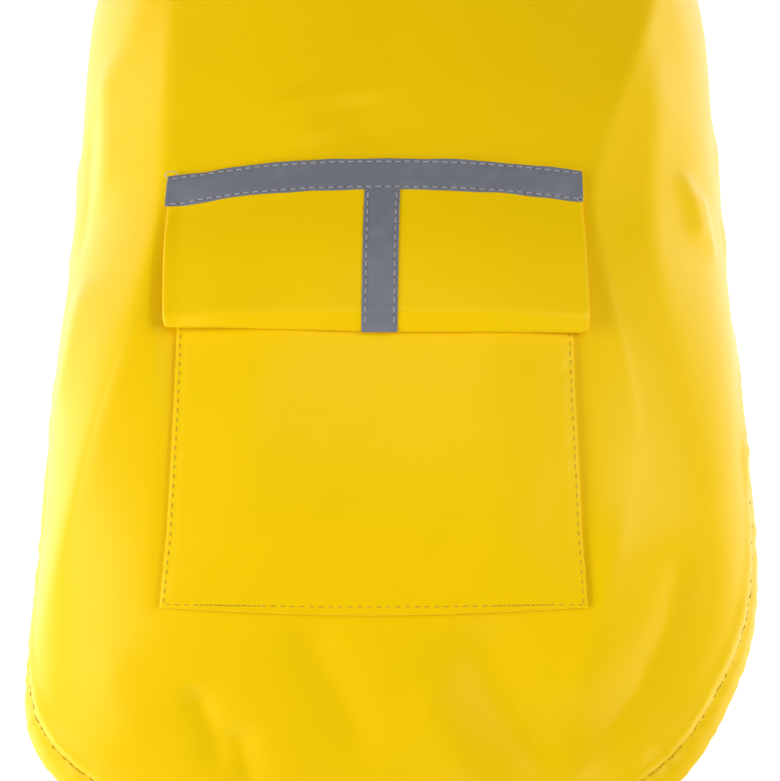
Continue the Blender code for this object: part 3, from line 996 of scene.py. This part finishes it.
def strap_lift(inside, lapped):
    """The height of a strap: under the panel at its sewn end, and easing to its place in the lap."""
    edge = float(read("cut", STRAP_AT))
    middle = float(half_round(STRAP_AT))

    def lift(along, across):
        reached = np.minimum(across, 2 * middle - across) - edge
        share = smooth_step((reached - 6.0) / (middle - edge - STRAP_LAP / 2 - 14.0))
        return inside + (lapped - inside) * share

    return lift


def belly_strap():
    """Two straps sewn under the side edges, lapped under the belly and closed by hook and loop."""
    edge = float(read("cut", STRAP_AT))
    middle = float(half_round(STRAP_AT))
    ends = (STRAP_AT - STRAP_WIDTH / 2, STRAP_AT + STRAP_WIDTH / 2)
    half = STRAP_WIDTH / 2
    reach = (middle + STRAP_LAP / 2 - edge + STRAP_SEWN) / 2
    for side, name, node, height in (
        (-1, "strap_right_webbing", "strap_right", STRAP_HEIGHTS[0]),
        (1, "strap_left_webbing", "strap_left", STRAP_HEIGHTS[1]),
    ):
        centre = middle + side * (reach - STRAP_LAP / 2)
        along, across = patch(ends, (reach, reach), 1.7, centre, 0.4)
        lift = strap_lift(STRAP_INSIDE, height)
        piece = shell(name, along, across, lift, WEBBING, STRAP)
        stand_for(piece, node)
        lap = box_path(middle + side * 2, half - 3.5, PATCH_LENGTH / 2 - 1.5)
        stitches(name + "_lap_stitches", lap, lift, YELLOW_THREAD, 13)
        box = box_path(-side * (edge - STRAP_SEWN / 2 - 1), half - 2.0, STRAP_SEWN / 2 - 3)
        stitches(node + "_sewn_box", box, panel_lift, YELLOW_THREAD, 14)
    narrow = (STRAP_AT - PATCH_WIDTH / 2, STRAP_AT + PATCH_WIDTH / 2)
    for name, node, height, surface in (
        ("loop_pad", "loop_patch", PATCH_HEIGHTS[0], LOOPS),
        ("hook_pad", "hook_patch", PATCH_HEIGHTS[1], HOOKS),
    ):
        along, across = patch(narrow, (PATCH_LENGTH / 2, PATCH_LENGTH / 2), 1.5, middle, 0.4)
        uneven = height + 0.06 * wobble(across + 2 * along, 5.0, 15)
        stand_for(shell(name, along, across, uneven, PATCH, surface), node)


def box_path(middle, half_along, half_across):
    """The four sides of a box of stitches on the strap, round a middle."""
    before, after = STRAP_AT - half_along, STRAP_AT + half_along
    left, right = middle - half_across, middle + half_across
    corners = ((before, left), (before, right), (after, right), (after, left), (before, left))
    return [corners[i : i + 2] for i in range(4)]


# ---------------------------------------------------------------- floor, light and camera
# Places and distances are in metres: the floor's depth under the coat, the point that the lights face, the
# point that the camera looks at, and how far off and how high it stands.
FLOOR_BELOW = 0.10
LIT_MIDDLE = Vector((0.0, -0.09, -0.02))
LOOK_AT = Vector((-0.00285, -0.08856, -0.005))
CAMERA_DISTANCE = 0.9
CAMERA_RISE = math.radians(69.0)
LENS = 124.6
FLOOR_GLOW = 0.9
ROOM_LIGHT = 0.08


def stand_in_scene(name, data, location, turn):
    """Puts a light or the camera in the scene."""
    item = bpy.data.objects.new(name, data)
    item.location = location
    item.rotation_euler = turn
    bpy.context.scene.collection.objects.link(item)
    return item


def studio():
    """A plain pale floor, soft light from both sides, from the tail and over the pocket, and the camera."""
    bpy.ops.mesh.primitive_plane_add(size=12.0, location=(0.0, 0.0, cad_box[0].z - FLOOR_BELOW))
    floor = bpy.context.object
    floor.name = "floor"
    paint = Paint("pale_floor", Roughness=0.9, Specular_IOR_Level=0.1)
    speckle = paint.noise(3.0, 2.0)
    paint.feed("Base Color", paint.mix((0.88, 0.88, 0.88, 1.0), (0.92, 0.92, 0.92, 1.0), speckle))
    paint.shader.inputs["Emission Color"].default_value = (1.0, 1.0, 1.0, 1.0)
    paint.shader.inputs["Emission Strength"].default_value = FLOOR_GLOW
    floor.data.materials.append(paint.material)

    world = bpy.data.worlds.new("pale_room")
    world.use_nodes = True
    world.node_tree.nodes["Background"].inputs["Color"].default_value = (1.0, 1.0, 1.0, 1.0)
    world.node_tree.nodes["Background"].inputs["Strength"].default_value = ROOM_LIGHT
    bpy.context.scene.world = world

    for name, where, size, power in (
        ("left_light", (-1.15, -0.24, 0.48), (1.4, 0.8), 17.5),
        ("right_light", (1.06, -0.10, 0.76), (1.1, 0.8), 9.0),
        ("right_strip", (0.86, -0.10, 0.98), (0.9, 0.12), 3.6),
        ("tail_light", (0.0, -1.5, 0.30), (1.2, 0.16), 1.8),
    ):
        lamp = bpy.data.lights.new(name, "AREA")
        lamp.shape = "RECTANGLE"
        lamp.size, lamp.size_y = size
        lamp.energy = power
        turn = (-Vector(where)).to_track_quat("-Z", "Y").to_euler()
        stand_in_scene(name, lamp, LIT_MIDDLE + Vector(where), turn)
    lamp = bpy.data.lights.new("pocket_light", "SPOT")
    lamp.energy = 7.5
    lamp.spot_size = math.radians(22.0)
    lamp.spot_blend = 1.0
    lamp.shadow_soft_size = 0.2
    stand_in_scene("pocket_light", lamp, (0.0, -0.05, 1.0), (math.radians(-2.0), 0.0, 0.0))

    lens = bpy.data.cameras.new("camera")
    lens.sensor_fit = "HORIZONTAL"
    lens.sensor_width = 36.0
    lens.lens = LENS
    lens.clip_start, lens.clip_end = 0.01, 50.0
    away = Vector((0.0, -math.cos(CAMERA_RISE), math.sin(CAMERA_RISE)))
    turn = (math.pi / 2 - CAMERA_RISE, 0.0, 0.0)
    camera = stand_in_scene("camera", lens, LOOK_AT + CAMERA_DISTANCE * away, turn)
    bpy.context.scene.camera = camera
    bpy.context.scene.view_settings.view_transform = "Standard"


studio()
back_panel()
hems()
chest_panel()
pocket()
tapes()
thread_ends()
belly_strap()
